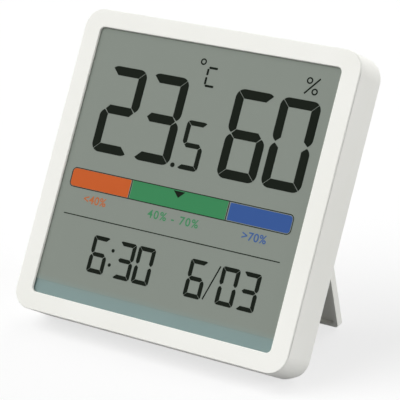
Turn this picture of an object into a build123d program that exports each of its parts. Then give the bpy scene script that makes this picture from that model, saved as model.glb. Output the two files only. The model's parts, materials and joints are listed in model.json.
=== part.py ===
import os
from math import cos, degrees, hypot, radians, sin

from build123d import *

os.makedirs("parts", exist_ok=True)

# Case, in millimetres: a square box that leans back on a fold-out stand
case_width = 80.0
case_height = 80.0
case_corner_radius = 5.0
case_wall = 1.5
back_wall = 1.4
lean_angle = 28.4
front_edge_chamfer = 0.15
rear_edge_radius = 1.2
seam_gap = 0.2
seam_depth = 0.5
cut_overrun = 1.0

# Front bezel: thin plate with a thinner rim, four skirt walls inside the case wall, snap beads and hooks
bezel_plate = 0.6
bezel_rim = 0.35
bezel_side = 4.85
bezel_top = 4.67
bezel_bottom = 4.72
window_corner_radius = 1.3
window_chamfer = 0.15
skirt_gap = 0.2
skirt_wall = 1.0
skirt_reach = 0.8
skirt_corner = 6.0
bead_length = 9.0
bead_height = 0.4
bead_width = 0.8
bead_gap = 0.1
bead_inset = 1.2
bead_spread_share = 0.5
hook_length = 8.0
hook_bite = 0.45
hook_width = 0.6

# Display cell and its holder
film_thickness = 0.2
film_margin = 0.3
film_rise = 3.5
glass_thickness = 1.1
glass_ledge = 1.9
reflector_thickness = 0.25
holder_gap = 0.2
holder_rim = 0.8
glass_gap = 0.1
holder_floor = 1.8
holder_rib = 7.0
holder_corner = 1.6
zebra_width = 1.4
zebra_inset = 6.2
zebra_gap = 0.1

# Board, its screws and the parts soldered to it
board_thickness = 1.0
board_margin = 1.2
screw_inset = 4.0
screw_radius = 0.75
screw_gap = 0.05
screw_length = 1.5
screw_head_radius = 1.5
screw_head_height = 0.9
blob_size = 10.0
blob_corner_radius = 3.0
blob_height = 1.4
blob_edge_chamfer = 1.0
blob_drop = 18.0
crystal_radius = 1.0
crystal_length = 6.2
crystal_lead_width = 0.36
crystal_lead_length = 2.2
crystal_lead_spread = 0.7
crystal_lift = 0.1
crystal_clearance = 4.2
chip_length = 1.6
chip_width = 0.8
chip_height = 0.6
chip_pitch_x = 4.0
chip_pitch_y = 3.0
chip_columns = 4
chip_rows = 2
chip_offset = 16.0
sensor_size = 3.0
sensor_height = 0.9
sensor_port_size = 1.2
sensor_port_depth = 0.4

# Coin cell, its contacts and the well round it
cell_radius = 10.0
cell_thickness = 3.2
cell_cap_step = 1.2
cell_cap_height = 0.2
contact_room = 0.8
contact_metal = 0.2
contact_width = 4.0
contact_gap = 0.05
contact_foot = 3.0
contact_slot_gap = 0.4
leaf_length = 12.0
leaf_rise = 3.0
leaf_tip = 2.5
well_gap = 0.25
well_wall = 1.0
well_lip = 0.8
well_lip_thickness = 0.4
ledge_thickness = 0.8
well_top_margin = 0.6

# Bayonet door in the back
run_gap = 0.3
face_gap = 0.1
hub_overlap = 0.6
hub_step = 0.9
lug_bite = 0.6
lug_thickness = 0.8
lug_width = 5.0
lug_count = 3
slot_extra = 0.8
door_turn = 45.0
door_lock_angle = 90.0
stop_rib = 1.2
stop_gap_angle = 2.0
seat_thickness = 1.2
seat_rim = 0.9
disc_lap = 1.4
disc_thickness = 1.0
disc_edge_chamfer = 0.25
door_inset = 0.2
coin_slot_length = 12.0
coin_slot_width = 1.7
coin_slot_depth = 0.9
coin_slot_wall = 0.9

# Keys on the back and their switches
key_radius = 2.8
key_inset = 0.1
key_edge_chamfer = 0.25
key_flange = 0.8
key_flange_thickness = 0.9
key_stem_width = 2.2
key_pitch = 7.8
key_column_inset = 11.5
key_travel = 0.4
switch_size = 4.5
switch_height = 2.0
plunger_width = 1.8
plunger_proud = 0.6
plunger_depth = 0.7

# Vent in front of the humidity sensor
vent_count = 5
vent_length = 9.0
vent_width = 1.2
vent_pitch = 2.4
vent_column_inset = 12.5
chamber_wall = 1.0
chamber_margin = 1.0
chamber_gap = 0.2
chamber_screw_gap = 0.5

# Fold-out stand
stand_width = 65.0
stand_thickness = 2.4
stand_open_angle = 46.0
stand_corner_radius = 0.8
stand_skin = 1.2
stand_rim = 1.1
stand_rib = 1.0
stand_pocket_count = 3
stand_pocket_radius = 0.8
stand_inset = 0.1
stand_side_gap = 0.3
stand_end_gap = 0.35
stand_floor_gap = 0.3
stand_stop_gap = 0.1
stand_seat_gap = 2.26
hinge_pin_radius = 0.9
hinge_pin_length = 1.5
hinge_pin_gap = 0.05
hinge_boss = 1.2
recess_floor = 1.2
recess_wall = 1.2
recess_corner_radius = 0.5
nail_slot_width = 13.0
nail_slot_reach = 0.7
nail_slot_depth = 1.6

# Depths behind the front face, in the order the pieces stack
film_back = bezel_plate + film_thickness
front_glass_back = film_back + glass_thickness
rear_glass_back = front_glass_back + glass_thickness
reflector_back = rear_glass_back + reflector_thickness
holder_back = reflector_back + holder_floor
board_back = holder_back + board_thickness
cell_front = board_back + contact_room
cell_back = cell_front + cell_thickness
hub_end = cell_back + face_gap
lug_back = hub_end + lug_thickness
seat_front = lug_back + face_gap
seat_back = seat_front + seat_thickness
disc_front = seat_back + face_gap / 2
disc_back = disc_front + disc_thickness
case_depth = disc_back + door_inset
back_front = case_depth - back_wall

# Plan sizes, worked from the outside in
inner_width = case_width - 2 * case_wall
inner_height = case_height - 2 * case_wall
inner_radius = case_corner_radius - case_wall
seam_width = case_width - 2 * seam_depth
seam_height = case_height - 2 * seam_depth
skirt_width = inner_width - 2 * skirt_gap
skirt_height = inner_height - 2 * skirt_gap
skirt_inner_width = skirt_width - 2 * skirt_wall
skirt_inner_height = skirt_height - 2 * skirt_wall
holder_width = skirt_inner_width - 2 * holder_gap
holder_height = skirt_inner_height - 2 * holder_gap
glass_width = holder_width - 2 * (holder_rim + glass_gap)
glass_height = holder_height - 2 * (holder_rim + glass_gap)
glass_bottom = -glass_height / 2
glass_top = glass_height / 2
window_width = case_width - 2 * bezel_side
window_bottom = bezel_bottom - case_height / 2
window_top = case_height / 2 - bezel_top
window_height = window_top - window_bottom
rear_glass_bottom = glass_bottom + glass_ledge
film_bottom = window_bottom + film_rise
board_width = holder_width - 2 * board_margin
board_height = holder_height - 2 * board_margin
screw_span_x = board_width - 2 * screw_inset
screw_span_y = board_height - 2 * screw_inset

# Tilted working plane on the front face, with the case standing on its lower rear edge
lean = radians(lean_angle)
stand_tilt = radians(stand_open_angle - lean_angle)
face_z = rear_edge_radius + (case_height / 2 - rear_edge_radius) * cos(lean)
face_z += (case_depth - rear_edge_radius) * sin(lean)
front_reach = (case_height / 2 - front_edge_chamfer) * sin(lean)
rear_reach = (case_height / 2 - rear_edge_radius) * sin(lean)
rear_reach += (case_depth - rear_edge_radius) * cos(lean) + rear_edge_radius
face_y = (front_reach - rear_reach) / 2
face = Plane(origin=(0, face_y, face_z), x_dir=(1, 0, 0), z_dir=(0, -cos(lean), sin(lean)))
inward = Axis(face.origin, -face.z_dir)


def layer(depth, x=0.0, y=0.0):
    # Plane parallel to the front face, at a depth behind it
    return Plane(origin=face.from_local_coords((x, y, -depth)), x_dir=face.x_dir, z_dir=face.z_dir)


def section(x, y):
    # Plane square to the front face: across is local x, up is the depth behind the face
    return Plane(origin=face.from_local_coords((x, y, 0)), x_dir=face.x_dir, z_dir=face.y_dir)


def depth_axis(x, y):
    return Axis(face.from_local_coords((x, y, 0)), face.z_dir)


# Bayonet door and cell well radii, from the cell outwards
hub_inner = cell_radius - hub_overlap
hub_radius = cell_radius + hub_step
seat_hole = hub_radius + run_gap
lug_radius = seat_hole + lug_bite
collar_inner = lug_radius + run_gap
disc_radius = seat_hole + disc_lap
door_pocket = disc_radius + run_gap
seat_outer = door_pocket + seat_rim
well_radius = cell_radius + well_gap
well_outer = well_radius + well_wall
ledge_back = hub_end - face_gap
ledge_front = ledge_back - ledge_thickness
well_front = cell_front - well_lip_thickness
door_y = inner_height / 2 - seat_outer - well_top_margin

# Stand, hinge and recess places
barrel_radius = stand_thickness / 2
hinge_depth = case_depth - stand_inset - barrel_radius
heel_reach = (barrel_radius + stand_floor_gap - stand_stop_gap) / sin(radians(stand_open_angle))
housing_top = door_y - seat_outer - stand_seat_gap
recess_top = housing_top - recess_wall
hinge_y = recess_top - stand_end_gap - hypot(heel_reach, barrel_radius)
hinge_point = face.from_local_coords((0, hinge_y, -hinge_depth))
stand_plane = Plane(origin=hinge_point, x_dir=(1, 0, 0), z_dir=(0, cos(stand_tilt), sin(stand_tilt)))
stand_reach = (hinge_point.Z + barrel_radius * sin(stand_tilt)) / cos(stand_tilt)
recess_back = hinge_depth - barrel_radius - stand_floor_gap
recess_front = recess_back - recess_floor
recess_bottom = hinge_y - stand_reach - stand_end_gap
recess_height = recess_top - recess_bottom
recess_middle = (recess_top + recess_bottom) / 2
recess_width = stand_width + 2 * stand_side_gap
housing_bottom = -inner_height / 2
housing_height = housing_top - housing_bottom
housing_middle = (housing_top + housing_bottom) / 2
boss_width = hinge_pin_length + stand_side_gap + hinge_boss
boss_radius = hinge_pin_radius + hinge_boss

# Columns of keys and vents beside the door
key_x = key_column_inset - inner_width / 2
key_ys = [door_y + key_pitch, door_y, door_y - key_pitch]
key_hole = key_radius + run_gap
flange_back = back_front - face_gap
flange_front = flange_back - key_flange_thickness
flange_width = 2 * (key_radius + key_flange)
switch_back = board_back + switch_height
plunger_back = switch_back + plunger_proud
vent_x = inner_width / 2 - vent_column_inset
chamber_width = (vent_count - 1) * vent_pitch + vent_width + 2 * chamber_margin
chamber_height = vent_length + 2 * chamber_margin
chamber_top = screw_span_y / 2 - screw_head_radius - chamber_screw_gap
vent_y = chamber_top - chamber_wall - chamber_height / 2

# Front bezel
with BuildPart() as front_bezel:
    with BuildSketch(layer(0)):
        RectangleRounded(case_width, case_height, case_corner_radius)
    extrude(amount=-bezel_rim)
    chamfer(front_bezel.faces().sort_by(inward)[0].outer_wire().edges(), front_edge_chamfer)
    with BuildSketch(layer(bezel_rim)):
        RectangleRounded(skirt_width, skirt_height, inner_radius - skirt_gap)
    extrude(amount=-(bezel_plate - bezel_rim))
    with BuildSketch(layer(0, 0, (window_top + window_bottom) / 2)):
        RectangleRounded(window_width, window_height, window_corner_radius)
    extrude(amount=-bezel_plate, mode=Mode.SUBTRACT)
    chamfer(front_bezel.faces().sort_by(inward)[0].inner_wires()[0].edges(), window_chamfer)
    with BuildSketch(layer(bezel_plate)):
        with GridLocations(skirt_width - skirt_wall, 0, 2, 1):
            Rectangle(skirt_wall, skirt_height - 2 * skirt_corner)
        with GridLocations(0, skirt_height - skirt_wall, 1, 2):
            Rectangle(skirt_width - 2 * skirt_corner, skirt_wall)
    extrude(amount=-(holder_back + skirt_reach - bezel_plate))
    with BuildSketch(layer(bezel_plate + bead_inset)):
        with GridLocations(skirt_width, bead_spread_share * skirt_height, 2, 2):
            Rectangle(2 * bead_height, bead_length)
        with GridLocations(bead_spread_share * skirt_width, skirt_height, 2, 2):
            Rectangle(bead_length, 2 * bead_height)
    extrude(amount=-bead_width)
    with BuildSketch(layer(holder_back + face_gap)):
        with GridLocations(skirt_inner_width, 0, 2, 1):
            Rectangle(2 * hook_bite, hook_length)
        with GridLocations(0, skirt_inner_height, 1, 2):
            Rectangle(hook_length, 2 * hook_bite)
    extrude(amount=-hook_width)
front_bezel.part.label = "front_bezel"
export_step(front_bezel.part, "parts/front_bezel.step")

# Rear case: tub with the stand recess, the bayonet seat, the cell well and the vent chamber
with BuildPart() as rear_case:
    with BuildSketch(layer(bezel_rim)):
        RectangleRounded(case_width, case_height, case_corner_radius)
    extrude(amount=-(case_depth - bezel_rim))
    fillet(rear_case.faces().sort_by(inward)[-1].outer_wire().edges(), rear_edge_radius)
    with BuildSketch(layer(bezel_rim)):
        RectangleRounded(inner_width, inner_height, inner_radius)
    extrude(amount=-(back_front - bezel_rim), mode=Mode.SUBTRACT)

    # Shadow gap behind the bezel
    with BuildSketch(layer(bezel_rim)):
        RectangleRounded(case_width, case_height, case_corner_radius)
        RectangleRounded(seam_width, seam_height, case_corner_radius - seam_depth, mode=Mode.SUBTRACT)
    extrude(amount=-seam_gap, mode=Mode.SUBTRACT)

    # Grooves for the bezel's snap beads
    with BuildSketch(layer(bezel_plate + bead_inset - bead_gap)):
        with GridLocations(inner_width, bead_spread_share * skirt_height, 2, 2):
            Rectangle(2 * bead_height, bead_length + 2 * bead_gap)
        with GridLocations(bead_spread_share * skirt_width, inner_height, 2, 2):
            Rectangle(bead_length + 2 * bead_gap, 2 * bead_height)
    extrude(amount=-(bead_width + 2 * bead_gap), mode=Mode.SUBTRACT)

    # Stand recess with its hinge bosses
    with BuildSketch(layer(recess_front, 0, housing_middle)):
        Rectangle(recess_width + 2 * recess_wall, housing_height)
    extrude(amount=-(back_front - recess_front))
    with BuildSketch(layer(recess_front, 0, hinge_y)):
        with GridLocations(recess_width + boss_width, 0, 2, 1):
            Rectangle(boss_width, 2 * boss_radius)
    extrude(amount=-(back_front - recess_front))
    with BuildSketch(layer(case_depth, 0, recess_middle)):
        RectangleRounded(recess_width, recess_height, recess_corner_radius)
    extrude(amount=case_depth - recess_back, mode=Mode.SUBTRACT)
    with BuildSketch(layer(case_depth, 0, recess_bottom)):
        SlotOverall(nail_slot_width, 2 * nail_slot_reach)
    extrude(amount=nail_slot_depth, mode=Mode.SUBTRACT)
    for side in (-1, 1):
        bore_start = face.from_local_coords((side * recess_width / 2, hinge_y, -hinge_depth))
        with BuildSketch(Plane(origin=bore_start, x_dir=face.y_dir, z_dir=(side, 0, 0))):
            Circle(hinge_pin_radius + hinge_pin_gap)
        extrude(amount=hinge_pin_length, mode=Mode.SUBTRACT)

    # Bayonet seat and cell well, turned about the door's axis
    with BuildSketch(section(0, door_y)):
        with BuildLine():
            Polyline(
                (0, well_front),
                (well_outer, well_front),
                (well_outer, ledge_front),
                (seat_outer, ledge_front),
                (seat_outer, back_front),
                (0, back_front),
                close=True,
            )
        make_face()
    revolve(axis=depth_axis(0, door_y))
    with BuildSketch(section(0, door_y)):
        with BuildLine():
            Polyline(
                (0, well_front - cut_overrun),
                (cell_radius - well_lip, well_front - cut_overrun),
                (cell_radius - well_lip, cell_front),
                (well_radius, cell_front),
                (well_radius, ledge_back),
                (collar_inner, ledge_back),
                (collar_inner, seat_front),
                (seat_hole, seat_front),
                (seat_hole, seat_back),
                (door_pocket, seat_back),
                (door_pocket, case_depth + cut_overrun),
                (0, case_depth + cut_overrun),
                close=True,
            )
        make_face()
    revolve(axis=depth_axis(0, door_y), mode=Mode.SUBTRACT)
    with BuildSketch(layer(seat_back, 0, door_y)):
        with PolarLocations(seat_hole, lug_count, door_lock_angle - door_turn):
            Rectangle(2 * (lug_bite + run_gap), lug_width + slot_extra)
        Circle(collar_inner, mode=Mode.INTERSECT)
    extrude(amount=seat_thickness, mode=Mode.SUBTRACT)
    lug_half_angle = degrees((lug_width + stop_rib) / 2 / seat_hole) + stop_gap_angle
    for stop_angle in (door_lock_angle + lug_half_angle, door_lock_angle - door_turn - lug_half_angle):
        with BuildSketch(layer(ledge_back, 0, door_y)):
            with PolarLocations(collar_inner, lug_count, stop_angle):
                Rectangle(2 * lug_bite, stop_rib)
        extrude(amount=-(seat_front - ledge_back))
    with BuildSketch(layer(well_front, 0, door_y - cell_radius)):
        Rectangle(contact_width + 2 * contact_slot_gap, 2 * (well_gap + well_wall + contact_slot_gap))
    extrude(amount=-(ledge_front - well_front), mode=Mode.SUBTRACT)

    # Key holes, vent slots and the walls of the vent chamber
    with BuildSketch(layer(case_depth)):
        for key_y in key_ys:
            with Locations((key_x, key_y)):
                Circle(key_hole)
        with Locations((vent_x, vent_y)):
            with GridLocations(vent_pitch, 0, vent_count, 1):
                SlotOverall(vent_length, vent_width, rotation=90)
    extrude(amount=back_wall, mode=Mode.SUBTRACT)
    with BuildSketch(layer(board_back + chamber_gap, vent_x, vent_y)):
        Rectangle(chamber_width + 2 * chamber_wall, chamber_height + 2 * chamber_wall)
        Rectangle(chamber_width, chamber_height, mode=Mode.SUBTRACT)
    extrude(amount=-(back_front - board_back - chamber_gap))
rear_case.part.label = "rear_case"
export_step(rear_case.part, "parts/rear_case.step")

# Display cell, front to back
film_height = glass_top - film_margin - film_bottom
with BuildPart() as lcd_front_polariser:
    with BuildSketch(layer(bezel_plate, 0, film_bottom + film_height / 2)):
        Rectangle(glass_width - 2 * film_margin, film_height)
    extrude(amount=-film_thickness)
lcd_front_polariser.part.label = "lcd_front_polariser"
export_step(lcd_front_polariser.part, "parts/lcd_front_polariser.step")

with BuildPart() as lcd_front_glass:
    with BuildSketch(layer(film_back)):
        Rectangle(glass_width, glass_height)
    extrude(amount=-glass_thickness)
lcd_front_glass.part.label = "lcd_front_glass"
export_step(lcd_front_glass.part, "parts/lcd_front_glass.step")

rear_glass_height = glass_top - rear_glass_bottom
with BuildPart() as lcd_rear_glass:
    with BuildSketch(layer(front_glass_back, 0, glass_top - rear_glass_height / 2)):
        Rectangle(glass_width, rear_glass_height)
    extrude(amount=-glass_thickness)
lcd_rear_glass.part.label = "lcd_rear_glass"
export_step(lcd_rear_glass.part, "parts/lcd_rear_glass.step")

with BuildPart() as lcd_reflector:
    with BuildSketch(layer(rear_glass_back, 0, glass_top - rear_glass_height / 2)):
        Rectangle(glass_width - 2 * film_margin, rear_glass_height - 2 * film_margin)
    extrude(amount=-reflector_thickness)
lcd_reflector.part.label = "lcd_reflector"
export_step(lcd_reflector.part, "parts/lcd_reflector.step")

# Display holder: rim round the glass, ribbed floor, slot for the connector strip
zebra_y = glass_bottom + (glass_ledge - glass_gap) / 2
zebra_length = glass_width - 2 * zebra_inset
opening_width = (screw_span_x - 3 * holder_rib) / 2
opening_height = (screw_span_y - 3 * holder_rib) / 2
with BuildPart() as lcd_holder:
    with BuildSketch(layer(bezel_plate)) as holder_plan:
        Rectangle(holder_width, holder_height)
        chamfer(holder_plan.vertices(), holder_corner)
    extrude(amount=-(holder_back - bezel_plate))
    with BuildSketch(layer(bezel_plate)):
        Rectangle(glass_width + 2 * glass_gap, glass_height + 2 * glass_gap)
    extrude(amount=-(reflector_back - bezel_plate), mode=Mode.SUBTRACT)
    with BuildSketch(layer(reflector_back)):
        with GridLocations(opening_width + holder_rib, opening_height + holder_rib, 2, 2):
            Rectangle(opening_width, opening_height)
        with Locations((0, zebra_y)):
            Rectangle(zebra_length + 2 * zebra_gap, zebra_width + 2 * zebra_gap)
        with GridLocations(screw_span_x, screw_span_y, 2, 2):
            Circle(screw_radius + screw_gap)
    extrude(amount=-holder_floor, mode=Mode.SUBTRACT)
lcd_holder.part.label = "lcd_holder"
export_step(lcd_holder.part, "parts/lcd_holder.step")

with BuildPart() as zebra_strip:
    with BuildSketch(layer(front_glass_back, 0, zebra_y)):
        Rectangle(zebra_length, zebra_width)
    extrude(amount=-(holder_back - front_glass_back))
zebra_strip.part.label = "zebra_strip"
export_step(zebra_strip.part, "parts/zebra_strip.step")

# Board and its screws
with BuildPart() as main_board:
    with BuildSketch(layer(holder_back)):
        Rectangle(board_width, board_height)
        with GridLocations(screw_span_x, screw_span_y, 2, 2):
            Circle(screw_radius + screw_gap, mode=Mode.SUBTRACT)
    extrude(amount=-board_thickness)
main_board.part.label = "main_board"
export_step(main_board.part, "parts/main_board.step")

with BuildPart() as board_screws:
    with BuildSketch(layer(holder_back - screw_length)):
        with GridLocations(screw_span_x, screw_span_y, 2, 2):
            Circle(screw_radius)
    extrude(amount=-(screw_length + board_thickness))
    with BuildSketch(layer(board_back)):
        with GridLocations(screw_span_x, screw_span_y, 2, 2):
            RegularPolygon(screw_head_radius, 6)
    extrude(amount=-screw_head_height)
board_screws.part.label = "board_screws"
export_step(board_screws.part, "parts/board_screws.step")

# Parts soldered to the board
with BuildPart() as controller_blob:
    with BuildSketch(layer(board_back, 0, -blob_drop)):
        RectangleRounded(blob_size, blob_size, blob_corner_radius)
    extrude(amount=-blob_height)
    chamfer(controller_blob.faces().sort_by(inward)[-1].edges(), blob_edge_chamfer)
controller_blob.part.label = "controller_blob"
export_step(controller_blob.part, "parts/controller_blob.step")

crystal_x = -(blob_size / 2 + crystal_clearance)
crystal_y = -blob_drop - crystal_length / 2
crystal_depth = board_back + crystal_radius + crystal_lift
crystal_end = face.from_local_coords((crystal_x, crystal_y, -crystal_depth))
lead_end = face.from_local_coords((crystal_x, crystal_y - crystal_lead_length, -crystal_depth))
with BuildPart() as crystal:
    with BuildSketch(Plane(origin=crystal_end, x_dir=(1, 0, 0), z_dir=face.y_dir)):
        Circle(crystal_radius)
    extrude(amount=crystal_length)
    with BuildSketch(Plane(origin=lead_end, x_dir=(1, 0, 0), z_dir=face.y_dir)):
        with GridLocations(crystal_lead_spread, 0, 2, 1):
            Rectangle(crystal_lead_width, crystal_lead_width)
    extrude(amount=crystal_lead_length)
    with BuildSketch(layer(board_back, crystal_x, crystal_y - crystal_lead_length)):
        with GridLocations(crystal_lead_spread, 0, 2, 1):
            Rectangle(crystal_lead_width, crystal_lead_width)
    extrude(amount=-(crystal_depth - board_back))
crystal.part.label = "crystal"
export_step(crystal.part, "parts/crystal.step")

with BuildPart() as chip_parts:
    with BuildSketch(layer(board_back, chip_offset, -blob_drop)):
        with GridLocations(chip_pitch_x, chip_pitch_y, chip_columns, chip_rows):
            Rectangle(chip_length, chip_width)
    extrude(amount=-chip_height)
chip_parts.part.label = "chip_parts"
export_step(chip_parts.part, "parts/chip_parts.step")

with BuildPart() as humidity_sensor:
    with BuildSketch(layer(board_back, vent_x, vent_y)):
        Rectangle(sensor_size, sensor_size)
    extrude(amount=-sensor_height)
    with BuildSketch(layer(board_back + sensor_height, vent_x, vent_y)):
        Rectangle(sensor_port_size, sensor_port_size)
    extrude(amount=sensor_port_depth, mode=Mode.SUBTRACT)
humidity_sensor.part.label = "humidity_sensor"
export_step(humidity_sensor.part, "parts/humidity_sensor.step")

# Key switches, and a plunger and a cap for each key
with BuildPart() as tact_switches:
    with BuildSketch(layer(board_back)):
        for key_y in key_ys:
            with Locations((key_x, key_y)):
                Rectangle(switch_size, switch_size)
    extrude(amount=-switch_height)
    with BuildSketch(layer(switch_back)):
        for key_y in key_ys:
            with Locations((key_x, key_y)):
                Rectangle(plunger_width + 2 * run_gap, plunger_width + 2 * run_gap)
    extrude(amount=plunger_depth + key_travel + run_gap, mode=Mode.SUBTRACT)
tact_switches.part.label = "tact_switches"
export_step(tact_switches.part, "parts/tact_switches.step")

for key_name, key_y in zip(("set", "up", "down"), key_ys):
    with BuildPart() as plunger:
        with BuildSketch(layer(switch_back - plunger_depth, key_x, key_y)):
            Rectangle(plunger_width, plunger_width)
        extrude(amount=-(plunger_depth + plunger_proud))
    plunger.part.label = key_name + "_plunger"
    export_step(plunger.part, "parts/" + key_name + "_plunger.step")

    with BuildPart() as key:
        with BuildSketch(layer(plunger_back, key_x, key_y)):
            Rectangle(key_stem_width, key_stem_width)
        extrude(amount=-(flange_front - plunger_back))
        with BuildSketch(layer(flange_front, key_x, key_y)):
            Rectangle(flange_width, flange_width)
        extrude(amount=-key_flange_thickness)
        with BuildSketch(layer(flange_back, key_x, key_y)):
            Circle(key_radius)
        extrude(amount=-(case_depth - key_inset - flange_back))
        chamfer(key.faces().sort_by(inward)[-1].edges(), key_edge_chamfer)
    key.part.label = key_name + "_button"
    export_step(key.part, "parts/" + key_name + "_button.step")

# Coin cell: a can with a smaller cap towards the board
with BuildPart() as coin_cell:
    with BuildSketch(layer(cell_front, 0, door_y)):
        Circle(cell_radius)
    extrude(amount=-cell_thickness)
    with BuildSketch(layer(cell_front, 0, door_y)):
        Circle(cell_radius - cell_cap_step)
    extrude(amount=cell_cap_height)
coin_cell.part.label = "coin_cell"
export_step(coin_cell.part, "parts/coin_cell.step")

# Contacts: a side blade against the can, and a leaf under the cap
blade_y = door_y - cell_radius - contact_gap - contact_metal
with BuildPart() as battery_positive_contact:
    with BuildSketch(layer(board_back, 0, blade_y + contact_metal / 2)):
        Rectangle(contact_width, contact_metal)
    extrude(amount=-(ledge_front - face_gap - board_back))
    with BuildSketch(layer(board_back, 0, blade_y - contact_foot / 2)):
        Rectangle(contact_width, contact_foot)
    extrude(amount=-contact_metal)
battery_positive_contact.part.label = "battery_positive_contact"
export_step(battery_positive_contact.part, "parts/battery_positive_contact.step")

leaf_lift = contact_room - cell_cap_height
leaf_start = face.from_local_coords((-contact_width / 2, door_y - leaf_length / 2, -board_back))
with BuildPart() as battery_negative_contact:
    with BuildSketch(Plane(origin=leaf_start, x_dir=face.y_dir, z_dir=face.x_dir)):
        with BuildLine():
            Polyline(
                (0, 0),
                (leaf_length - leaf_rise - leaf_tip, 0),
                (leaf_length - leaf_tip, contact_metal - leaf_lift),
                (leaf_length, contact_metal - leaf_lift),
                (leaf_length, -leaf_lift),
                (leaf_length - leaf_tip, -leaf_lift),
                (leaf_length - leaf_rise - leaf_tip, -contact_metal),
                (0, -contact_metal),
                close=True,
            )
        make_face()
    extrude(amount=contact_width)
battery_negative_contact.part.label = "battery_negative_contact"
export_step(battery_negative_contact.part, "parts/battery_negative_contact.step")

# Battery door: disc, hub, lugs under the seat, coin slot with its backing bar
with BuildPart() as battery_door:
    with BuildSketch(layer(disc_front, 0, door_y)):
        Circle(disc_radius)
    extrude(amount=-disc_thickness)
    chamfer(battery_door.faces().sort_by(inward)[-1].edges(), disc_edge_chamfer)
    with BuildSketch(layer(hub_end, 0, door_y)):
        Circle(hub_radius)
        Circle(hub_inner, mode=Mode.SUBTRACT)
    extrude(amount=-(disc_front - hub_end))
    with BuildSketch(layer(hub_end, 0, door_y)):
        with PolarLocations(hub_radius, lug_count, door_lock_angle):
            Rectangle(2 * (lug_bite + run_gap), lug_width)
        Circle(lug_radius, mode=Mode.INTERSECT)
    extrude(amount=-lug_thickness)
    with BuildSketch(layer(disc_front, 0, door_y)):
        Rectangle(coin_slot_length + 2 * coin_slot_wall, coin_slot_width + 2 * coin_slot_wall)
    extrude(amount=coin_slot_depth)
    with BuildSketch(layer(disc_back, 0, door_y)):
        SlotOverall(coin_slot_length, coin_slot_width)
    extrude(amount=coin_slot_depth, mode=Mode.SUBTRACT)
battery_door.part.label = "battery_door"
export_step(battery_door.part, "parts/battery_door.step")

# Stand: flap with a hollow inner face, barrel, stop heel, pins and a foot cut level with the table
flap_end = stand_reach + cut_overrun
pocket_length = stand_reach - barrel_radius - stand_rim - barrel_radius * sin(stand_tilt)
pocket_pitch = (stand_width - 2 * stand_rim + stand_rib) / stand_pocket_count
with BuildPart() as stand:
    with BuildSketch(stand_plane.offset(-barrel_radius)):
        with Locations((0, flap_end / 2)):
            Rectangle(stand_width, flap_end)
    extrude(amount=stand_thickness)
    with BuildSketch(Plane(origin=hinge_point, x_dir=stand_plane.y_dir, z_dir=(1, 0, 0))):
        Circle(barrel_radius)
    extrude(amount=stand_width / 2, both=True)
    with BuildSketch(stand_plane):
        with Locations((0, -heel_reach / 2)):
            Rectangle(stand_width, heel_reach)
    extrude(amount=barrel_radius)
    with BuildSketch(stand_plane.offset(-barrel_radius)):
        with Locations((0, barrel_radius + pocket_length / 2)):
            with GridLocations(pocket_pitch, 0, stand_pocket_count, 1):
                RectangleRounded(pocket_pitch - stand_rib, pocket_length, stand_pocket_radius)
    extrude(amount=stand_thickness - stand_skin, mode=Mode.SUBTRACT)
    split(bisect_by=Plane.XY, keep=Keep.TOP)
    fillet(stand.faces().sort_by(Axis.Z)[0].edges().filter_by(Axis.Y), stand_corner_radius)
    with BuildSketch(Plane(origin=hinge_point, x_dir=stand_plane.y_dir, z_dir=(1, 0, 0))):
        Circle(hinge_pin_radius)
    extrude(amount=stand_width / 2 + hinge_pin_length, both=True)
stand.part.label = "stand"
export_step(stand.part, "parts/stand.step")
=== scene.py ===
import json
import math

import bmesh
import bpy
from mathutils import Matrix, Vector


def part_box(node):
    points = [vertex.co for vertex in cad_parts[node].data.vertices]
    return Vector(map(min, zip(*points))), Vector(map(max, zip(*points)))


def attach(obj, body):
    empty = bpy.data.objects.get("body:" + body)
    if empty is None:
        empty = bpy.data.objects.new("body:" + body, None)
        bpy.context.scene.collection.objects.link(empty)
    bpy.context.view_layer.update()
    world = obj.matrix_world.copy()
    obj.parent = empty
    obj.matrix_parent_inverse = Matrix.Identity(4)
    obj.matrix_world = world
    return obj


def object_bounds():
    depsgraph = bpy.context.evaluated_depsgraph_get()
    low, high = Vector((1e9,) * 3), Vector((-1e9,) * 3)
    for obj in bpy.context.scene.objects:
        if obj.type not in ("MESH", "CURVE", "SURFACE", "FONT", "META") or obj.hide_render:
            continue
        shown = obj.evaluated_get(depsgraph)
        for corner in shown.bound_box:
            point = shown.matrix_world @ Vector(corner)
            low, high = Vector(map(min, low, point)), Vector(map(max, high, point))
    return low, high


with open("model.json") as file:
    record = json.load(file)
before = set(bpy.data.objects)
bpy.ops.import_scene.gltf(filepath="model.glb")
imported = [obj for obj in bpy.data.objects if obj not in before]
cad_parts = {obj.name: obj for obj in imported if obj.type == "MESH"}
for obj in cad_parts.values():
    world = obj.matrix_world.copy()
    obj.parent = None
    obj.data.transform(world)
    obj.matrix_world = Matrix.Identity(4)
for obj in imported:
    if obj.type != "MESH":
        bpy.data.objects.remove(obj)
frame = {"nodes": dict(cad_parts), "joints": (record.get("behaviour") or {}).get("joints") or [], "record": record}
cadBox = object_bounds()
nodes = frame["nodes"]
joints = {joint["name"]: joint for joint in frame["joints"]}
print("frame loaded with", len(nodes), "CAD nodes")

mm = 0.001
scene = bpy.context.scene

# the tilted front face, from the frame: keys press along its normal, the glass is centred behind it
glassMiddle = 1.35  # depth of the front glass's middle behind the face, mm
faceOut = Vector(joints["set_press"]["axis"])
faceUp = Vector((0, faceOut.z, -faceOut.y))
glassLow, glassHigh = (Vector(corner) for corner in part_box("lcd_front_glass"))
faceCentre = (glassLow + glassHigh) / 2 + faceOut * glassMiddle * mm
leanAngle = math.asin(faceOut.z)


def facePoint(x, y, depth):
    # mm on the face, and mm behind it, to metres in the frame
    return faceCentre + (Vector((x, 0, 0)) + faceUp * y - faceOut * depth) * mm


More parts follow.
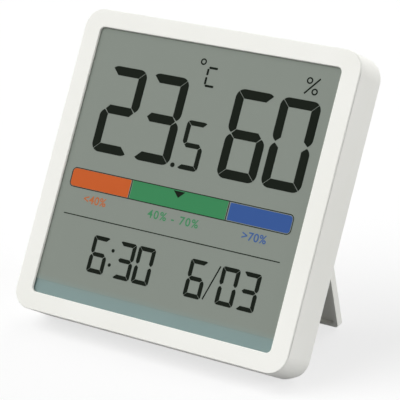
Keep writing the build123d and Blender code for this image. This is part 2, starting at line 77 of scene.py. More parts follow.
def faceCoords(point):
    offset = (Vector(point) - faceCentre) / mm
    return offset.x, offset.dot(faceUp), -offset.dot(faceOut)


def nodeDepth(node, pick):
    return pick(faceCoords(vertex.co)[2] for vertex in nodes[node].data.vertices)


filmFront = nodeDepth("lcd_front_polariser", min)
tubFront = nodeDepth("rear_case", min)
caseBack = nodeDepth("rear_case", max)
keyBack = nodeDepth("set_button", max)
doorBack = nodeDepth("battery_door", max)

# camera, matched to the case's edges in the photo: mm on the face and out from it, degrees, lens in mm
shot = {"x": 221.28, "y": -29.68, "out": 381.24, "azimuth": 31.71, "elevation": 21.118,
        "lens": 160.16, "sensor": 36, "nearMm": 10}
cameraData = bpy.data.cameras.new("productCamera")
camera = bpy.data.objects.new("productCamera", cameraData)
scene.collection.objects.link(camera)
cameraData.sensor_width = shot["sensor"]
cameraData.lens = shot["lens"]
cameraData.clip_start = shot["nearMm"] * mm
azimuth = math.radians(shot["azimuth"])
elevation = math.radians(shot["elevation"])
camera.location = facePoint(shot["x"], shot["y"], -shot["out"])
camera.rotation_euler = (math.pi / 2 - elevation, 0, azimuth)
scene.camera = camera
scene.view_settings.view_transform = "Standard"
print("camera set")


def linear(hexColour):
    channels = [int(hexColour[i:i + 2], 16) / 255 for i in (0, 2, 4)]
    return [c / 12.92 if c <= 0.04045 else ((c + 0.055) / 1.055) ** 2.4 for c in channels] + [1]


def addNode(tree, kind, settings=None, links=None):
    # settings go to sockets by name or number, otherwise to the node itself
    node = tree.nodes.new("ShaderNode" + kind)
    for key, value in (settings or {}).items():
        if isinstance(key, int) or key in node.inputs:
            node.inputs[key].default_value = value
        else:
            setattr(node, key, value)
    for key, source in (links or {}).items():
        tree.links.new(source, node.inputs[key])
    return node


def startMaterial(name):
    material = bpy.data.materials.new(name)
    material.use_nodes = True
    tree = material.node_tree
    tree.nodes.clear()
    return material, tree, addNode(tree, "TexCoord").outputs["Object"]


def seenShare(tree):
    # 1 where the camera, a reflection or a clear piece looks, 0 for light that falls on a surface
    rays = addNode(tree, "LightPath").outputs
    seen = addNode(tree, "Math", {"operation": "MAXIMUM"},
                   {0: rays["Is Camera Ray"], 1: rays["Is Glossy Ray"]})
    seen = addNode(tree, "Math", {"operation": "MAXIMUM"},
                   {0: seen.outputs[0], 1: rays["Is Transmission Ray"]})
    return seen.outputs[0]


# studio: soft key from the upper left front, low fill from the right, a lamp behind for the top and back
studio = {"sky": 0.15, "white": "FFFFFF", "table": "909090", "tableGlow": 0.685,
          "tableHalf": 15, "tableDropMm": 0.02}
lamps = {
    "key": {"from": (-0.6, -0.42, 0.66), "strength": 3.25, "spread": 60},
    "fill": {"from": (0.93, 0.1, 0.3), "strength": 1.65, "spread": 40},
    "back": {"from": (0.05, 0.92, 0.3), "strength": 1.45, "spread": 36},
}
for name, setting in lamps.items():
    lampData = bpy.data.lights.new(name + "Lamp", "SUN")
    lampData.energy = setting["strength"]
    lampData.angle = math.radians(setting["spread"])
    lamp = bpy.data.objects.new(name + "Lamp", lampData)
    scene.collection.objects.link(lamp)
    lamp.rotation_euler = Vector(setting["from"]).to_track_quat("Z", "Y").to_euler()
    lamp.visible_glossy = False  # gloss shows the white surround, not the lamp

# white surround for the camera and for reflections, plain sky light for the rest
world = bpy.data.worlds.new("studioSky")
scene.world = world
world.use_nodes = True
tree = world.node_tree
tree.nodes.clear()
level = addNode(tree, "MapRange", {"To Min": studio["sky"], "To Max": 1}, {"Value": seenShare(tree)})
sky = addNode(tree, "Background", {"Color": linear(studio["white"])}, {"Strength": level.outputs[0]})
addNode(tree, "OutputWorld", links={"Surface": sky.outputs[0]})

# opal acrylic light table: white where nothing shades it, and a soft shadow
opalAcrylic, tree = startMaterial("opalAcrylicLightTable")[:2]
glow = addNode(tree, "Math", {"operation": "MULTIPLY", 1: studio["tableGlow"]}, {0: seenShare(tree)})
lit = addNode(tree, "BsdfDiffuse", {"Color": linear(studio["table"])})
glowing = addNode(tree, "Emission", {"Color": linear(studio["white"])}, {"Strength": glow.outputs[0]})
both = addNode(tree, "AddShader", links={0: lit.outputs[0], 1: glowing.outputs[0]})
addNode(tree, "OutputMaterial", links={"Surface": both.outputs[0]})
half = studio["tableHalf"]
tableMesh = bpy.data.meshes.new("lightTable")
tableMesh.from_pydata(
    [(-half, -half, 0), (half, -half, 0), (half, half, 0), (-half, half, 0)], [], [(0, 1, 2, 3)])
tableMesh.materials.append(opalAcrylic)
table = bpy.data.objects.new("lightTable", tableMesh)
table.location.z = -studio["tableDropMm"] * mm
scene.collection.objects.link(table)
print("studio set")


# moulded plastics: slow colour drift from the melt, spark-eroded grain, edges softened by the tool
def mouldedPlastic(name, finish):
    material, tree, place = startMaterial(name)
    drift = addNode(tree, "TexNoise", {"Scale": 1 / (finish["driftMm"] * mm), "Detail": 2}, {"Vector": place})
    melt = addNode(tree, "MapRange", {"From Min": 0.3, "From Max": 0.7}, {"Value": drift.outputs["Fac"]})
    colour = addNode(tree, "Mix",
                     {"data_type": "RGBA", 6: linear(finish["deep"]), 7: linear(finish["light"])},
                     {0: melt.outputs[0]})
    # painted shade and a little dust in seams and inside corners, from ambient occlusion
    hollow = addNode(tree, "AmbientOcclusion", {"samples": 8, "Distance": finish["dustAndShadeMm"] * mm})
    clear = addNode(tree, "MapRange", {"From Min": 0.2, "From Max": 0.8}, {"Value": hollow.outputs["AO"]})
    dustAndShadeColour = addNode(tree, "Mix", {"data_type": "RGBA", 6: linear(finish["dustAndShade"])},
                    {0: clear.outputs[0], 7: colour.outputs[2]})
    grain = addNode(tree, "TexNoise",
                    {"Scale": 1 / (finish["grainMm"] * mm), "Detail": 3, "Roughness": 0.6},
                    {"Vector": place})
    swing = 0.06  # how far the grain moves the roughness
    gloss = addNode(tree, "MapRange",
                    {"To Min": finish["roughness"] - swing, "To Max": finish["roughness"] + swing},
                    {"Value": grain.outputs["Fac"]})
    edge = addNode(tree, "Bevel", {"samples": 8, "Radius": finish["edgeMm"] * mm})
    bump = addNode(tree, "Bump", {"Strength": 0.5, "Distance": finish["heightMm"] * mm},
                   {"Height": grain.outputs["Fac"], "Normal": edge.outputs[0]})
    shader = addNode(tree, "BsdfPrincipled", {"IOR": finish["ior"]},
                     {"Base Color": dustAndShadeColour.outputs[2], "Roughness": gloss.outputs[0],
                      "Normal": bump.outputs[0]})
    addNode(tree, "OutputMaterial", links={"Surface": shader.outputs[0]})
    return material


# ABS, off-white: broad soft highlight; its 0.05 mm grain is drawn coarser so that it shows; the seam colour is
# painted shade with a little dust
absFinish = {"light": "F2F2ED", "deep": "EEEEE8", "dustAndShade": "C4C4BE", "dustAndShadeMm": 0.4, "roughness": 0.5,
             "ior": 1.54, "grainMm": 0.3, "heightMm": 0.004, "driftMm": 26, "edgeMm": 0.08}
# ABS from a polished tool: the keys, a shade greyer and glossier
keyFinish = {"light": "D9DAD7", "deep": "D3D4D1", "dustAndShade": "A9AAA7", "dustAndShadeMm": 0.3, "roughness": 0.3,
             "ior": 1.54, "grainMm": 0.25, "heightMm": 0.001, "driftMm": 6, "edgeMm": 0.12}
# polystyrene: the display tray, chalky and matt
trayFinish = {"light": "E8E8E3", "deep": "DFDFD9", "dustAndShade": "B9B9B3", "dustAndShadeMm": 0.5, "roughness": 0.55,
              "ior": 1.59, "grainMm": 0.5, "heightMm": 0.006, "driftMm": 15, "edgeMm": 0.1}
# acetal: the switch plungers, black with a waxy gloss
plungerFinish = {"light": "2E2E30", "deep": "272729", "dustAndShade": "3A3A3A", "dustAndShadeMm": 0.2, "roughness": 0.33,
                 "ior": 1.48, "grainMm": 0.4, "heightMm": 0.001, "driftMm": 2, "edgeMm": 0.08}
absWhite = mouldedPlastic("absMouldedWhite", absFinish)
absKey = mouldedPlastic("absMouldedGrey", keyFinish)
polystyreneTray = mouldedPlastic("polystyreneMoulded", trayFinish)
acetalPlunger = mouldedPlastic("acetalMoulded", plungerFinish)
print("plastics made")

# triacetate polariser with an anti-glare, anti-reflection coat: flat grey-green with a fine sparkle
filmFinish = {"deep": "858C84", "light": "878E86", "edge": "84948F", "roughness": 0.38, "ior": 1.49,
              "specular": 0.1, "sparkleMm": 0.16, "heightMm": 0.001, "cloudMm": 18}
# soda-lime float glass, the bare ledge of the cell: cool tint, sharp gloss, faint draw lines
glassFinish = {"edge": "7C8A84", "deep": "778E8C", "light": "7B9290", "roughness": 0.06, "ior": 1.52,
               "drawMm": 9, "heightMm": 0.002}
# painted light: the bare ledge's glow painted up into the film's colour: where it ends and where it is full, mm up
# the face
paintedGlow = {"end": -29.9, "full": -33.3, "wave": 0.6, "waveMm": 14}


def paintedGlowShare(tree, place):
    up = addNode(tree, "VectorMath", {"operation": "DOT_PRODUCT", 1: faceUp}, {0: place})
    wave = addNode(tree, "TexNoise", {"Scale": 1 / (paintedGlow["waveMm"] * mm), "Detail": 1}, {"Vector": place})
    wavy = addNode(tree, "Math", {"operation": "MULTIPLY_ADD", 1: paintedGlow["wave"] * mm},
                   {0: wave.outputs["Fac"], 2: up.outputs["Value"]})
    end, full = (facePoint(0, paintedGlow[key] + paintedGlow["wave"] / 2, 0).dot(faceUp) for key in ("end", "full"))
    share = addNode(tree, "MapRange",
                    {"interpolation_type": "SMOOTHSTEP", "From Min": end, "From Max": full},
                    {"Value": wavy.outputs[0]})
    return share.outputs[0]


def filmSurface(tree, place, colour, material):
    # the coat's particles are about 0.02 mm, drawn coarser so that they show
    sparkle = addNode(tree, "TexNoise", {"Scale": 1 / (filmFinish["sparkleMm"] * mm), "Detail": 2},
                      {"Vector": place})
    bump = addNode(tree, "Bump", {"Strength": 0.4, "Distance": filmFinish["heightMm"] * mm},
                   {"Height": sparkle.outputs["Fac"]})
    swing = 0.05
    gloss = addNode(tree, "MapRange",
                    {"To Min": filmFinish["roughness"] - swing, "To Max": filmFinish["roughness"] + swing},
                    {"Value": sparkle.outputs["Fac"]})
    shader = addNode(tree, "BsdfPrincipled",
                     {"IOR": filmFinish["ior"], "Specular IOR Level": filmFinish["specular"]},
                     {"Base Color": colour, "Roughness": gloss.outputs[0], "Normal": bump.outputs[0]})
    addNode(tree, "OutputMaterial", links={"Surface": shader.outputs[0]})
    return material


polariserFilm, tree, place = startMaterial("triacetateFilmAntiGlare")
cloud = addNode(tree, "TexNoise", {"Scale": 1 / (filmFinish["cloudMm"] * mm), "Detail": 2}, {"Vector": place})
tone = addNode(tree, "Mix",
               {"data_type": "RGBA", 6: linear(filmFinish["deep"]), 7: linear(filmFinish["light"])},
               {0: cloud.outputs["Fac"]})
# painted light: the film's colour turns to the ledge's teal where the painted glow is full
tint = addNode(tree, "Mix", {"data_type": "RGBA", 7: linear(filmFinish["edge"])},
               {0: paintedGlowShare(tree, place), 6: tone.outputs[2]})
filmSurface(tree, place, tint.outputs[2], polariserFilm)

bareGlass, tree, place = startMaterial("sodaLimeFloatGlass")
draw = addNode(tree, "TexNoise",
               {"Scale": 1 / (glassFinish["drawMm"] * mm), "Detail": 2, "Distortion": 0.4},
               {"Vector": place})
tone = addNode(tree, "Mix",
               {"data_type": "RGBA", 6: linear(glassFinish["deep"]), 7: linear(glassFinish["light"])},
               {0: draw.outputs["Fac"]})
# painted light: the same painted glow grades the glass between its edge colour and its tone
tint = addNode(tree, "Mix", {"data_type": "RGBA", 6: linear(glassFinish["edge"])},
               {0: paintedGlowShare(tree, place), 7: tone.outputs[2]})
gloss = addNode(tree, "MapRange",
                {"To Min": glassFinish["roughness"], "To Max": 2 * glassFinish["roughness"]},
                {"Value": draw.outputs["Fac"]})
ripple = addNode(tree, "Bump", {"Strength": 0.2, "Distance": glassFinish["heightMm"] * mm},
                 {"Height": draw.outputs["Fac"]})
shader = addNode(tree, "BsdfPrincipled", {"IOR": glassFinish["ior"]},
                 {"Base Color": tint.outputs[2], "Roughness": gloss.outputs[0], "Normal": ripple.outputs[0]})
addNode(tree, "OutputMaterial", links={"Surface": shader.outputs[0]})
print("display finishes made")


# sheet metals: fine rolling lines along x, a little tarnish
def rolledMetal(name, finish):
    material, tree, place = startMaterial(name)
    drawn = addNode(tree, "Mapping", {"Scale": (finish["stretch"], 1, 1)}, {"Vector": place})
    lines = addNode(tree, "TexNoise", {"Scale": 1 / (finish["lineMm"] * mm), "Detail": 3},
                    {"Vector": drawn.outputs[0]})
    tone = addNode(tree, "Mix",
                   {"data_type": "RGBA", 6: linear(finish["deep"]), 7: linear(finish["light"])},
                   {0: lines.outputs["Fac"]})
    swing = 0.07
    gloss = addNode(tree, "MapRange",
                    {"To Min": finish["roughness"] - swing, "To Max": finish["roughness"] + swing},
                    {"Value": lines.outputs["Fac"]})
    bump = addNode(tree, "Bump", {"Strength": 0.3, "Distance": finish["heightMm"] * mm},
                   {"Height": lines.outputs["Fac"]})
    shader = addNode(tree, "BsdfPrincipled", {"Metallic": 1},
                     {"Base Color": tone.outputs[2], "Roughness": gloss.outputs[0],
                      "Normal": bump.outputs[0]})
    addNode(tree, "OutputMaterial", links={"Surface": shader.outputs[0]})
    return material


# nickel-plated steel: cell can, crystal, switch shells and screws, bright with soft lines
steelFinish = {"light": "BDBBB6", "deep": "A9A7A2", "roughness": 0.27, "lineMm": 0.3, "stretch": 0.1,
               "heightMm": 0.001}
# tin-plated phosphor bronze: contact springs, warmer and softer
contactFinish = {"light": "CFC7B2", "deep": "BAB19A", "roughness": 0.3, "lineMm": 0.3, "stretch": 0.1,
                 "heightMm": 0.001}
# aluminised film: the reflector, a satin sheen
reflectorFinish = {"light": "C6C9C5", "deep": "B4B8B3", "roughness": 0.4, "lineMm": 0.4, "stretch": 0.05,
                   "heightMm": 0.001}
platedSteel = rolledMetal("steelNickelPlated", steelFinish)
springBronze = rolledMetal("bronzeTinPlated", contactFinish)
reflectorFilm = rolledMetal("aluminisedFilm", reflectorFinish)
print("metals made")


# cast, sintered, laminated and printed pieces: two tones by a pattern, bump from the same pattern
def patternedSolid(name, finish):
    material, tree, place = startMaterial(name)
    pattern = addNode(tree, finish["pattern"], {"Scale": 1 / (finish["sizeMm"] * mm)}, {"Vector": place})
    height = pattern.outputs["Distance" if finish["pattern"] == "TexVoronoi" else "Fac"]
    tone = addNode(tree, "Mix",
                   {"data_type": "RGBA", 6: linear(finish["deep"]), 7: linear(finish["light"])},
                   {0: height})
    swing = 0.05
    gloss = addNode(tree, "MapRange",
                    {"To Min": finish["roughness"] - swing, "To Max": finish["roughness"] + swing},
                    {"Value": height})
    bump = addNode(tree, "Bump", {"Strength": 0.4, "Distance": finish["heightMm"] * mm}, {"Height": height})
    shader = addNode(tree, "BsdfPrincipled", {"IOR": finish["ior"]},
                     {"Base Color": tone.outputs[2], "Roughness": gloss.outputs[0],
                      "Normal": bump.outputs[0]})
    addNode(tree, "OutputMaterial", links={"Surface": shader.outputs[0]})
    return material


# silicone connector: pink rubber banded with carbon layers, 0.1 mm apart and drawn coarser
zebraFinish = {"light": "D9A79C", "deep": "2B2827", "pattern": "TexWave", "sizeMm": 2, "roughness": 0.6,
               "ior": 1.41, "heightMm": 0.002}
# glass-epoxy board: green resist, the weave just showing through
boardFinish = {"light": "1F5F3C", "deep": "174A2F", "pattern": "TexVoronoi", "sizeMm": 0.8, "roughness": 0.33,
               "ior": 1.55, "heightMm": 0.006}
# cast epoxy: the blob and the sensor body, dull black and slightly uneven
epoxyFinish = {"light": "242422", "deep": "191918", "pattern": "TexNoise", "sizeMm": 0.9, "roughness": 0.4,
               "ior": 1.55, "heightMm": 0.012}
# sintered alumina: chip parts, tan and grainy
aluminaFinish = {"light": "94846F", "deep": "77684F", "pattern": "TexVoronoi", "sizeMm": 0.25,
                 "roughness": 0.5, "ior": 1.7, "heightMm": 0.003}
siliconeZebra = patternedSolid("siliconeLayered", zebraFinish)
boardLaminate = patternedSolid("glassEpoxyLaminate", boardFinish)
epoxyBlack = patternedSolid("epoxyCastBlack", epoxyFinish)
aluminaTan = patternedSolid("aluminaSintered", aluminaFinish)

slotFinish = {
    "white_abs": absWhite,
    "key_plastic": absKey,
    "lcd_film": polariserFilm,
    "lcd_glass": bareGlass,
    "lcd_reflector": reflectorFilm,
    "holder_plastic": polystyreneTray,
    "zebra_rubber": siliconeZebra,
    "board_laminate": boardLaminate,
    "black_epoxy": epoxyBlack,
    "steel": platedSteel,
    "chip_ceramic": aluminaTan,
    "switch_plastic": acetalPlunger,
    "contact_metal": springBronze,
}
for part in frame["record"]["subparts"]:
    for slot in nodes[part["node"]].material_slots:
        slot.material = slotFinish[part["material_slot"]]
nodes["lcd_front_polariser"].visible_shadow = False  # clear film, no shadow line on the glass at its edge
print("CAD nodes dressed")


# outlines in mm on the face
def arcPoints(cx, cy, radius, start, end, steps):
    angles = [start + (end - start) * i / steps for i in range(steps + 1)]
    return [(cx + radius * math.cos(angle), cy + radius * math.sin(angle)) for angle in angles]


def discPoints(cx, cy, radius, steps=28):
    return arcPoints(cx, cy, radius, 0, 2 * math.pi * (steps - 1) / steps, steps - 1)


def strokePoints(x0, y0, x1, y1, width, nib=0):
    # a straight stroke, its ends tapered over the length nib
    length = math.hypot(x1 - x0, y1 - y0)
    ux, uy = (x1 - x0) / length, (y1 - y0) / length
    half = width / 2
    outline = [(nib, -half), (length - nib, -half), (length - nib, half), (nib, half)]
    if nib:
        outline = [(0, 0), *outline[:2], (length, 0), *outline[2:]]
    return [(x0 + ux * along - uy * side, y0 + uy * along + ux * side) for along, side in outline]


def boxPoints(left, bottom, right, top, leftRadius, rightRadius, steps=6):
    quarter = math.pi / 2
    leftX, rightX = left + leftRadius, right - rightRadius
    points = arcPoints(rightX, top - rightRadius, rightRadius, 0, quarter, steps)
    points += arcPoints(leftX, top - leftRadius, leftRadius, quarter, 2 * quarter, steps)
    points += arcPoints(leftX, bottom + leftRadius, leftRadius, 2 * quarter, 3 * quarter, steps)
    points += arcPoints(rightX, bottom + rightRadius, rightRadius, 3 * quarter, 4 * quarter, steps)
    return points


def addPiece(name, body, material, mesh):
    bmesh.ops.recalc_face_normals(mesh, faces=mesh.faces)
    data = bpy.data.meshes.new(name)
    mesh.to_mesh(data)
    mesh.free()
    data.materials.append(material)
    piece = bpy.data.objects.new(name, data)
    scene.collection.objects.link(piece)
    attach(piece, body)
    return piece


# moulding draft: the tub's top and bottom walls spread towards the back, as skins over the straight solid
tub = {"half": cadBox[1][0] / mm, "corner": 5, "rearRadius": 1.2, "fall": 1.25, "bury": 0.02, "skin": 0.3,
       "wallRows": 4, "fallRows": 8, "turns": 10, "sharpAngle": 40}
# depth in mm where the spread is full, and where it has fallen back to the straight wall
drafts = {
    "top": {"side": 1, "slope": 0.052, "full": 11.6, "end": 13.2},
    "bottom": {"side": -1, "slope": 0.06, "full": 9.6, "end": 12.4},
}


def draftPoint(draft, end, turn, depth, sunk):
    # end is -1 at the left corner and 1 at the right, turn goes from the side wall to the drafted wall
    rear = max(0, depth - caseBack + tub["rearRadius"])
    inset = tub["rearRadius"] - math.sqrt(tub["rearRadius"] ** 2 - rear ** 2) + sunk
    radius = tub["corner"] - inset
    fall = max(0, (depth - draft["full"]) / (draft["end"] - draft["full"]))
    spread = draft["slope"] * (min(depth, draft["full"]) - tubFront) * (1 - fall ** tub["fall"])
    middle = tub["half"] - tub["corner"]
    x = end * (middle + radius * math.cos(turn))
    y = middle + (radius + spread) * math.sin(turn)
    return facePoint(x, draft["side"] * y, depth)


def rimLoop(rows):
    # the open edge of a grid, once round
    right = [row[-1] for row in rows[1:]]
    left = [row[0] for row in reversed(rows[1:-1])]
    return [*rows[0], *right, *reversed(rows[-1][:-1]), *left]


turns = [(-1, math.pi / 2 * i / tub["turns"]) for i in range(tub["turns"] + 1)]
turns += [(1, turn) for end, turn in reversed(turns)]
for name, draft in drafts.items():
    wall = draft["full"] - tubFront
    fall = draft["end"] - draft["full"]
    depths = [tubFront + tub["bury"] + wall * i / tub["wallRows"] for i in range(tub["wallRows"])]
    depths += [draft["full"] + fall * i / tub["fallRows"] for i in range(tub["fallRows"] + 1)]
    mesh = bmesh.new()
    rims = []
    for sunk in (tub["bury"], tub["skin"]):
        rows = [[mesh.verts.new(draftPoint(draft, end, turn, depth, sunk)) for end, turn in turns]
                for depth in depths]
        for near, far in zip(rows, rows[1:]):
            for i in range(1, len(turns)):
                mesh.faces.new((near[i - 1], near[i], far[i], far[i - 1]))
        rims.append(rimLoop(rows))
    outer, inner = rims
    for i in range(len(outer)):
        mesh.faces.new((outer[i - 1], outer[i], inner[i], inner[i - 1]))
    skin = addPiece("tub_draft_" + name, "case", absWhite, mesh)
    skin.data.shade_smooth()
    skin.data.set_sharp_from_angle(angle=math.radians(tub["sharpAngle"]))
print("tub draft laid")


# a mark: flat outlines and rings, raised a hair from the surface that carries them
def addMark(name, body, material, depth, proud, outlines=(), rings=()):
    mesh = bmesh.new()
    raised = depth + proud
    for points in outlines:
        low, high = ([mesh.verts.new(facePoint(x, y, d)) for x, y in points] for d in (depth, raised))
        mesh.faces.new(low)
        mesh.faces.new(high)
        for i in range(len(points)):
            mesh.faces.new((low[i - 1], low[i], high[i], high[i - 1]))
    for outer, inner in rings:
        loops = [[mesh.verts.new(facePoint(x, y, d)) for x, y in points]
                 for points, d in ((outer, depth), (outer, raised), (inner, raised), (inner, depth))]
        for first, second in zip(loops, loops[1:] + loops[:1]):
            for i in range(len(outer)):
                mesh.faces.new((first[i - 1], first[i], second[i], second[i - 1]))
    addPiece(name, body, material, mesh)


litSegments = {"0": "abcdef", "2": "abdeg", "3": "abcdg", "5": "acdfg", "6": "acdefg"}
# in stroke widths: the waist's tip, the curve that leads to it, its inner cut, and the middle bar's points
segmentShape = {"tip": 0.48, "shoulder": 0.85, "pull": 0.27, "cut": 0.45, "curveSteps": 7, "cornerSteps": 6,
                "barTip": 0.56, "barFlat": 1.02, "barHalf": 0.49}


def segmentOutlines(style):
    # seven segments from one ring: round outer corners, mitred joints, a pinched waist
    w, h, t, r = style["width"], style["height"], style["stroke"], style["corner"]
    cut = style["gap"] * math.sqrt(0.5)
    middle = h / 2
    waist = middle + style["waist"]

    def cornerArc(dx, dy, end):
        # from the mitre, which meets the outer corner's arc at 45 degrees, to the arc's end
        half = (dx + dy) / 2
        reach = math.sqrt(half * half - (dx * dx + dy * dy - r * r) / 2) - half
        start = math.atan2(dy + reach, dx + reach)
        return arcPoints(w - r, h - r, r, start, end, segmentShape["cornerSteps"])

    arc = cornerArc(r - t - cut, r - t, math.pi / 2)
    top = [(w - t - cut, h - t), *arc, *((w - x, y) for x, y in reversed(arc)), (t + cut, h - t)]
    side = [(w - t, h - t - cut), *cornerArc(r - t, r - t - cut, 0)]
    # outer side curves in to the waist's tip, inner side is cut straight
    tip = w - segmentShape["tip"] * t
    shoulder, pull = segmentShape["shoulder"] * t, segmentShape["pull"] * t
    for i in range(segmentShape["curveSteps"] + 1):
        u = i / segmentShape["curveSteps"]
        x = (1 - u * u) * w + u * u * tip
        y = waist + shoulder * (1 - u) ** 2 + 2 * pull * u * (1 - u)
        side.append((x, y))
    side.append((w - t, waist + segmentShape["cut"] * t))
    near, far, half = (segmentShape[key] * t for key in ("barTip", "barFlat", "barHalf"))
    bar = [(near, middle), (far, middle + half), (w - far, middle + half),
           (w - near, middle), (w - far, middle - half), (far, middle - half)]
    return {
        "a": top, "d": [(x, h - y) for x, y in top], "g": bar,
        "b": side, "c": [(x, h - y) for x, y in side],
        "f": [(w - x, y) for x, y in side], "e": [(w - x, h - y) for x, y in side],
    }


def digitOutlines(digits, lefts, style):
    segments = segmentOutlines(style)
    return [[(x + left, y + style["bottom"]) for x, y in segments[name]]
            for digit, left in zip(digits, lefts) for name in litSegments[digit]]


# liquid crystal and filter inks under the film, so they share its matt face
def underFilm(name, deep, light):
    material, tree, place = startMaterial(name)
    cloudMm = 6
    cloud = addNode(tree, "TexNoise", {"Scale": 1 / (cloudMm * mm), "Detail": 2}, {"Vector": place})
    tone = addNode(tree, "Mix", {"data_type": "RGBA", 6: linear(deep), 7: linear(light)},
                   {0: cloud.outputs["Fac"]})
    return filmSurface(tree, place, tone.outputs[2], material)


crystalDark = underFilm("liquidCrystalDark", "0A1109", "0E150C")  # near black with a green cast
fineLine = underFilm("liquidCrystalFine", "1B221A", "20271F")  # thin lines, a little weaker
inkOrange = underFilm("filterInkOrange", "C05A29", "C45D2B")
inkGreen = underFilm("filterInkGreen", "388153", "3A8355")
inkBlue = underFilm("filterInkBlue", "355592", "375794")
markRaise = -0.02  # towards the viewer

# readings: temperature with its tenths, humidity, clock and date; dots are x, y and radius
bigDigit = {"width": 11.1, "height": 22.7, "stroke": 2.36, "corner": 2.3, "gap": 0.12, "waist": 0.2,
            "bottom": 3.38}
tenthDigit = {"width": 6.1, "height": 12.55, "stroke": 1.26, "corner": 1.2, "gap": 0.1, "waist": 0.16,
              "bottom": 3.38}
smallDigit = {"width": 5.05, "height": 9.55, "stroke": 1.1, "corner": 0.85, "gap": 0.08, "waist": 0.16,
              "bottom": -27.05}
readings = {
    "temperature": {"groups": [("23", (-29.0, -16.4), bigDigit), ("5", (-3.1,), tenthDigit)],
                    "dots": [(-4.25, 4.0, 0.62)], "slashes": []},
    "humidity": {"groups": [("60", (8.45, 21.0), bigDigit)], "dots": [], "slashes": []},
    "clock": {"groups": [("630", (-21.1, -13.2, -7.5), smallDigit)],
              "dots": [(-14.7, -20.4, 0.47), (-14.75, -24.1, 0.47)], "slashes": []},
    "date": {"groups": [("603", (7.8, 16.9, 22.8), smallDigit)], "dots": [],
             "slashes": [(13.45, -26.7, 16.25, -17.8, 0.36)]},
}
for name, reading in readings.items():
    outlines = []
    for digits, lefts, style in reading["groups"]:
        outlines += digitOutlines(digits, lefts, style)
    outlines += [discPoints(*dot) for dot in reading["dots"]]
    outlines += [strokePoints(*slash) for slash in reading["slashes"]]
    addMark(name + "_digits", "case", crystalDark, filmFront, markRaise, outlines)

# unit signs: degree ring with a C of four strokes, and percent
unitSign = {
    "ring": 0.86, "hole": 0.48, "stroke": 0.58, "nib": 0.18, "slash": 0.42,
    "letter": [(-1.0, 29.76, 1.6, 29.76), (-1.06, 29.5, -1.06, 27.72),
               (-1.06, 27.36, -1.06, 25.35), (-1.0, 25.1, 1.6, 25.1)],
    "percent": (26.5, 27.65, 30.0, 31.8),
    "rings": [(-2.92, 31.0), (27.25, 31.0), (29.22, 28.42)],
}
unitStrokes = [strokePoints(*ends, unitSign["stroke"], unitSign["nib"]) for ends in unitSign["letter"]]
unitStrokes.append(strokePoints(*unitSign["percent"], unitSign["slash"]))
unitRings = [(discPoints(x, y, unitSign["ring"]), discPoints(x, y, unitSign["hole"]))
             for x, y in unitSign["rings"]]
addMark("unit_signs", "case", crystalDark, filmFront, markRaise, unitStrokes, unitRings)

# comfort bar: fine outline with two splits, a filter cell in each part, a pointer, and a rule below
comfort = {
    "left": -32.65, "right": 32.35, "bottom": -6.8, "top": -1.66, "corner": 1.25, "line": 0.24,
    "splits": (-14.35, 14.15), "splitCorner": 0.06,
    "rule": (-32.0, -13.78, 31.5, -13.62), "ruleLine": 0.27,
    "pointer": [(-2.0, -2.12), (1.42, -2.12), (-0.3, -3.82)],
}


def comfortBox(inset):
    radius = comfort["corner"] - inset
    return boxPoints(comfort["left"] + inset, comfort["bottom"] + inset,
                     comfort["right"] - inset, comfort["top"] - inset, radius, radius)


barLines = [strokePoints(x, comfort["bottom"], x, comfort["top"], comfort["line"]) for x in comfort["splits"]]
barLines.append(strokePoints(*comfort["rule"], comfort["ruleLine"]))
barRing = (comfortBox(0), comfortBox(comfort["line"]))
addMark("comfort_bar_lines", "case", fineLine, filmFront, markRaise, barLines, [barRing])
cells = {
    "orange": {"ink": inkOrange, "from": comfort["left"], "to": comfort["splits"][0], "inset": 0.28},
    "green": {"ink": inkGreen, "from": comfort["splits"][0], "to": comfort["splits"][1], "inset": 0.24},
    "blue": {"ink": inkBlue, "from": comfort["splits"][1], "to": comfort["right"], "inset": 0.38},
}
for name, cell in cells.items():
    inset = cell["inset"]
    radii = [comfort["splitCorner"] if x in comfort["splits"] else comfort["corner"] - inset
             for x in (cell["from"], cell["to"])]
    shape = boxPoints(cell["from"] + inset, comfort["bottom"] + inset,
                      cell["to"] - inset, comfort["top"] - inset, *radii)
    addMark("comfort_cell_" + name, "case", cell["ink"], filmFront, markRaise / 2, [shape])
addMark("comfort_pointer", "case", crystalDark, filmFront, markRaise, [comfort["pointer"]])

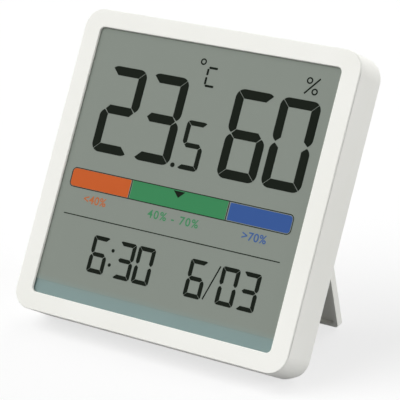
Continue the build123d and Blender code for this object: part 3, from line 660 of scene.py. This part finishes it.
# plain humidity limits under the cells, in the same inks: thin strokes look weaker
limitStyle = {"size": 2.95, "weight": 0.05, "baseline": -10.15}
limits = {
    "orange": {"deep": "B3683E", "light": "B76C42", "text": "<40%", "middle": -23.8, "spacing": 1.06},
    "green": {"deep": "43855B", "light": "47895F", "text": "40% - 70%", "middle": -0.2, "spacing": 1.2},
    "blue": {"deep": "426093", "light": "466497", "text": ">70%", "middle": 23.05, "spacing": 1.06},
}
for name, limit in limits.items():
    words = bpy.data.curves.new("limit_" + name, "FONT")
    words.body = limit["text"]
    words.align_x = "CENTER"
    words.size = limitStyle["size"] * mm
    words.offset = limitStyle["weight"] * mm
    words.extrude = abs(markRaise) * mm / 2
    words.space_character = limit["spacing"]
    words.materials.append(underFilm("filterInkThin" + name.capitalize(), limit["deep"], limit["light"]))
    label = bpy.data.objects.new("limit_" + name, words)
    scene.collection.objects.link(label)
    label.location = facePoint(limit["middle"], limitStyle["baseline"], filmFront + markRaise / 2)
    label.rotation_euler = (math.pi / 2 - leanAngle, 0, 0)
    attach(label, "case")
print("display marks placed")

# pad-print ink on the keys: matt grey, slightly uneven cover
padInk = {"deep": "7F8280", "light": "8B8E8C", "pattern": "TexNoise", "sizeMm": 0.6, "roughness": 0.5,
          "ior": 1.5, "heightMm": 0.002}
padPrint = patternedSolid("padPrintInkGrey", padInk)
# a ring on the first key, an arrow up or down on the others
keySign = {"ring": 1.25, "hole": 0.85, "half": 1.25, "tall": 1.05, "proud": 0.02}
keyLifts = {"set": 0, "up": 1, "down": -1}
for key, lift in keyLifts.items():
    low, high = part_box(key + "_button")
    x, y = faceCoords((Vector(low) + Vector(high)) / 2)[:2]
    foot = y - lift * keySign["tall"]
    arrow = [(x - keySign["half"], foot), (x + keySign["half"], foot), (x, y + lift * keySign["tall"])]
    ring = (discPoints(x, y, keySign["ring"]), discPoints(x, y, keySign["hole"]))
    outlines, rings = ([arrow], []) if lift else ([], [ring])
    addMark(key + "_key_sign", key + "_button", padPrint, keyBack, keySign["proud"], outlines, rings)

# raised moulded marks: an arrow on the door, a dot where it locks and a ring where it lifts out
doorSign = {"tip": 11.8, "base": 9.7, "half": 1.1, "radius": 14.6, "dot": 0.7, "hole": 0.38, "proud": 0.2}
doorX, doorY = faceCoords(joints["door_turn"]["pos_m"])[:2]
arrow = [(doorX + doorSign["tip"], doorY), (doorX + doorSign["base"], doorY + doorSign["half"]),
         (doorX + doorSign["base"], doorY - doorSign["half"])]
addMark("door_arrow", "battery_door", absWhite, doorBack, doorSign["proud"], [arrow])
freeAngle = -math.radians(joints["door_turn"]["range_deg"][1])
freeX = doorX + doorSign["radius"] * math.cos(freeAngle)
freeY = doorY + doorSign["radius"] * math.sin(freeAngle)
lockedDot = discPoints(doorX + doorSign["radius"], doorY, doorSign["dot"])
freeRing = (discPoints(freeX, freeY, doorSign["dot"]), discPoints(freeX, freeY, doorSign["hole"]))
addMark("door_stops", "case", absWhite, caseBack, doorSign["proud"], [lockedDot], [freeRing])
print("back signs placed")
